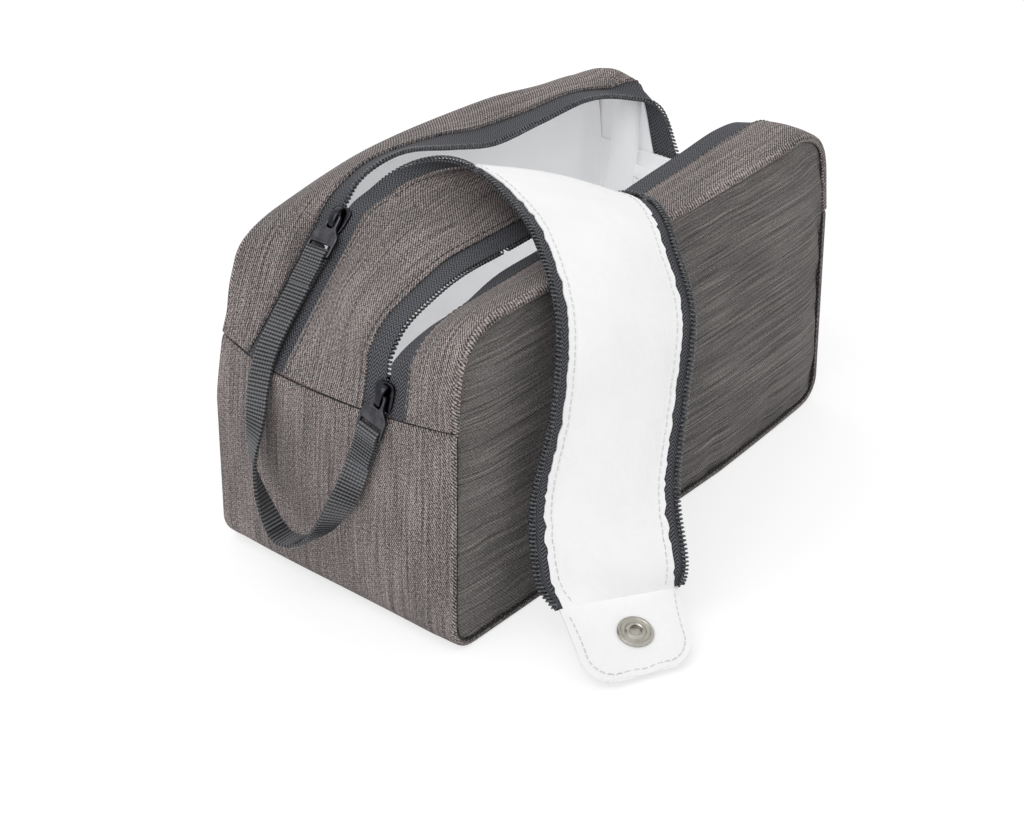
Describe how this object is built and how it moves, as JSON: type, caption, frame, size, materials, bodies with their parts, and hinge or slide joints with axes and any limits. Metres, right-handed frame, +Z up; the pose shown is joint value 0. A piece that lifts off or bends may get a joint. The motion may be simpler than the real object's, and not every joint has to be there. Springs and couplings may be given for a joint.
{
  "type": "toiletry bag",
  "caption": "Soft box-shaped toiletry bag with its wide zip-off top flap rolled back over the front, snap tab and webbing pull loop.",
  "frame": {"origin": "centre of the base's resting face", "axes": "+X along the bag to its right end, -Y towards the front panel with the hanging flap, +Z up"},
  "size_m": [0.2712, 0.2051, 0.1574],
  "materials": {
    "outer_cloth": "two-tone heather twill",
    "lining_cloth": "smooth plain weave",
    "foam": "soft foam",
    "board": "matte sheet",
    "zip_tape": "woven herringbone",
    "zip_coil": "moulded filament",
    "slider_metal": "glossy gunmetal",
    "pull_metal": "satin gunmetal",
    "webbing": "ribbed webbing",
    "snap_metal": "satin nickel"
  },
  "bodies": {
    "bag": {"front_panel": "outer_cloth", "front_panel_foam": "foam", "front_panel_lining": "lining_cloth", "rear_panel": "outer_cloth", "rear_panel_foam": "foam", "rear_panel_lining": "lining_cloth", "end_and_base_band": "outer_cloth", "band_lining": "lining_cloth", "base_board": "board", "inner_pocket": "lining_cloth", "pocket_hem": "lining_cloth", "front_top_strip": "outer_cloth", "front_strip_lining": "lining_cloth", "front_zip_tape": "zip_tape", "front_zip_coil": "zip_coil", "rear_top_strip": "outer_cloth", "rear_strip_lining": "lining_cloth", "rear_zip_tape": "zip_tape", "rear_zip_coil": "zip_coil", "flap_base_outer": "outer_cloth", "flap_base_lining": "lining_cloth", "flap_base_rear_tape": "zip_tape", "flap_base_front_tape": "zip_tape", "flap_base_rear_coil": "zip_coil", "flap_base_front_coil": "zip_coil", "flap_arch_outer": "outer_cloth", "flap_arch_lining": "lining_cloth", "flap_arch_rear_tape": "zip_tape", "flap_arch_front_tape": "zip_tape", "flap_arch_rear_coil": "zip_coil", "flap_arch_front_coil": "zip_coil", "snap_stud": "snap_metal", "snap_washer": "snap_metal", "rear_loop_half": "webbing", "front_loop_half": "webbing"},
    "rear_slider": {"rear_slider": "slider_metal"},
    "rear_pull": {"rear_pull": "pull_metal", "rear_loop_end": "webbing"},
    "front_slider": {"front_slider": "slider_metal"},
    "front_pull": {"front_pull": "pull_metal", "front_loop_end": "webbing"},
    "flap": {"flap_drop_outer": "outer_cloth", "flap_drop_lining": "lining_cloth", "flap_drop_rear_tape": "zip_tape", "flap_drop_front_tape": "zip_tape", "flap_drop_rear_coil": "zip_coil", "flap_drop_front_coil": "zip_coil"},
    "tab": {"tab_outer": "outer_cloth", "tab_lining": "lining_cloth", "snap_cap": "snap_metal", "snap_socket": "snap_metal"}
  },
  "joints": [
    {"name": "rear_slider_travel", "type": "slide", "parent": "bag", "child": "rear_slider", "axis": [0.7256, 0, 0.6881], "range_m": [-0.05, 0], "deforming": ["rear_loop_half"]},
    {"name": "front_slider_travel", "type": "slide", "parent": "bag", "child": "front_slider", "axis": [0.1781, 0, 0.984], "range_m": [0, 0.003], "deforming": ["front_loop_half"]},
    {"name": "rear_pull_turn", "type": "hinge", "parent": "rear_slider", "child": "rear_pull", "pos_m": [-0.08223, 0.033, 0.13681], "axis": [0, 1, 0], "range_deg": [0, 120], "deforming": ["rear_loop_end"]},
    {"name": "front_pull_turn", "type": "hinge", "parent": "front_slider", "child": "front_pull", "pos_m": [-0.12564, -0.0285, 0.10079], "axis": [0.0431, 0.9703, 0.238], "range_deg": [0, 120], "deforming": ["front_loop_end"]},
    {"name": "flap_lift", "type": "hinge", "parent": "bag", "child": "flap", "pos_m": [-0.01935, -0.0291, 0.1455], "axis": [-0.7302, 0.6328, 0.2577], "range_deg": [0, 100], "deforming": ["flap_arch_outer", "flap_arch_lining", "flap_arch_rear_tape", "flap_arch_front_tape", "flap_arch_rear_coil", "flap_arch_front_coil"]},
    {"name": "tab_fold", "type": "hinge", "parent": "flap", "child": "tab", "pos_m": [-0.0761, -0.10375, 0.01452], "axis": [-0.872, 0.489, 0.022], "range_deg": [0, 40]}
  ]
}
